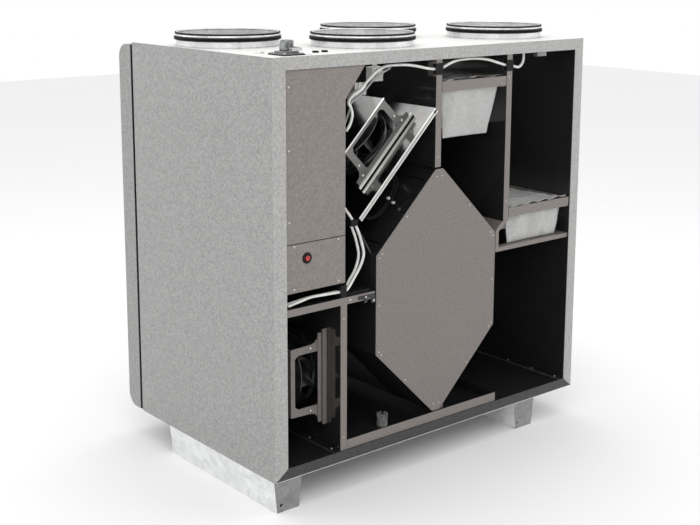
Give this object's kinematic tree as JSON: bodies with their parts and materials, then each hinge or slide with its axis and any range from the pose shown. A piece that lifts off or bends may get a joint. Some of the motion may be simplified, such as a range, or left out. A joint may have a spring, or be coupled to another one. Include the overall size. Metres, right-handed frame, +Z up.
{
  "type": "heat recovery unit",
  "caption": "Floor-standing cabinet with its front open: six-sided counterflow exchanger, centrifugal fans, bag filters, controls, rear door and round duct spigots on top.",
  "frame": {"origin": "centre of the floor under the whole unit, hinges and locks included", "axes": "+X to the right as seen from the open front, +Y from the open front to the rear door, +Z up"},
  "size_m": [1.033, 0.663, 1.075],
  "materials": {
    "panel": "satin",
    "top_sheet": "satin",
    "lining": "gloss",
    "trim": "satin",
    "galvanised": "satin",
    "coated_sheet": "satin",
    "bright_sheet": "satin",
    "dark_metal": "satin",
    "seal_rubber": "matte",
    "fan_plastic": "gloss",
    "drain_plastic": "matte",
    "cable_sheath": "satin",
    "die_cast": "satin",
    "board": "satin",
    "button_plastic": "gloss",
    "pale_plastic": "satin",
    "screw_steel": "satin",
    "core_plastic": "satin",
    "filter_cloth": "matte"
  },
  "bodies": {
    "casing": {"left_side_panel": "panel", "right_side_panel": "panel", "top_panel": "top_sheet", "bottom_panel": "panel", "inner_lining": "lining", "front_frame": "trim", "left_foot": "galvanised", "right_foot": "galvanised", "exhaust_spigot": "galvanised", "supply_spigot": "galvanised", "extract_spigot": "galvanised", "outdoor_spigot": "galvanised", "spigot_seals": "seal_rubber", "lower_partition": "coated_sheet", "shelf_panel": "coated_sheet", "upper_partition": "coated_sheet", "filter_partition": "coated_sheet", "exchanger_bracket": "coated_sheet", "duct_wall": "dark_metal", "baffle_plate": "dark_metal", "floor_strips": "dark_metal", "fan_plate": "bright_sheet", "supply_fan_bracket": "bright_sheet", "supply_fan_motor": "fan_plastic", "supply_fan_inlet": "fan_plastic", "exhaust_fan_bracket": "bright_sheet", "exhaust_fan_motor": "fan_plastic", "exhaust_fan_inlet": "fan_plastic", "condensate_tray": "core_plastic", "drain_stubs": "drain_plastic", "filter_rails": "coated_sheet", "control_box": "coated_sheet", "lower_cover": "coated_sheet", "upper_cover": "coated_sheet", "circuit_board": "board", "button_bezel": "seal_rubber", "cable_grommets": "seal_rubber", "fan_cables": "cable_sheath", "sensor_cable": "cable_sheath", "plug_housing": "die_cast", "terminal_block": "pale_plastic", "pressure_switch": "pale_plastic", "casing_screws": "screw_steel", "door_gasket": "seal_rubber", "door_fittings": "die_cast"},
    "supply_wheel": {"supply_impeller": "fan_plastic"},
    "exhaust_wheel": {"exhaust_impeller": "fan_plastic"},
    "button": {"reset_button": "button_plastic"},
    "lever": {"locking_lever": "screw_steel"},
    "exchanger": {"exchanger_core": "core_plastic", "exchanger_plate": "coated_sheet", "bypass_channel": "dark_metal"},
    "blade": {"bypass_blade": "coated_sheet"},
    "extract_filter": {"extract_filter_frame": "coated_sheet", "extract_filter_bags": "filter_cloth"},
    "supply_filter": {"supply_filter_frame": "coated_sheet", "supply_filter_bags": "filter_cloth"},
    "door": {"rear_door": "panel"},
    "upper_door_lock": {"upper_lock": "die_cast"},
    "lower_door_lock": {"lower_lock": "die_cast"}
  },
  "joints": [
    {"name": "supply_fan_spin", "type": "hinge", "parent": "casing", "child": "supply_wheel", "pos_m": [-0.1365, -0.1595, 0.791], "axis": [-0.7071, 0, 0.7071], "continuous": true},
    {"name": "exhaust_fan_spin", "type": "hinge", "parent": "casing", "child": "exhaust_wheel", "pos_m": [-0.3235, -0.1595, 0.275], "axis": [-1, 0, 0], "continuous": true},
    {"name": "button_press", "type": "slide", "parent": "casing", "child": "button", "axis": [0, 1, 0], "range_m": [0, 0.002], "stiffness_N_per_m": 600},
    {"name": "lever_swing", "type": "hinge", "parent": "casing", "child": "lever", "pos_m": [-0.4405, -0.2825, 1.053], "axis": [0, -1, 0], "range_deg": [0, 90]},
    {"name": "exchanger_slide", "type": "slide", "parent": "casing", "child": "exchanger", "axis": [0, -1, 0], "range_m": [0, 0.57]},
    {"name": "bypass_turn", "type": "hinge", "parent": "exchanger", "child": "blade", "pos_m": [-0.11276, -0.2515, 0.64726], "axis": [0, 1, 0], "range_deg": [0, 60]},
    {"name": "extract_filter_slide", "type": "slide", "parent": "casing", "child": "extract_filter", "axis": [0, -1, 0], "range_m": [0, 0.56]},
    {"name": "supply_filter_slide", "type": "slide", "parent": "casing", "child": "supply_filter", "axis": [0, -1, 0], "range_m": [0, 0.56]},
    {"name": "door_hinge", "type": "hinge", "parent": "casing", "child": "door", "pos_m": [0.5105, 0.2645, 0.558], "axis": [0, 0, -1], "range_deg": [0, 110]},
    {"name": "upper_lock_turn", "type": "hinge", "parent": "door", "child": "upper_door_lock", "pos_m": [-0.4405, 0.2995, 0.891], "axis": [0, 1, 0], "range_deg": [0, 90]},
    {"name": "lower_lock_turn", "type": "hinge", "parent": "door", "child": "lower_door_lock", "pos_m": [-0.4405, 0.2995, 0.225], "axis": [0, 1, 0], "range_deg": [0, 90]}
  ]
}
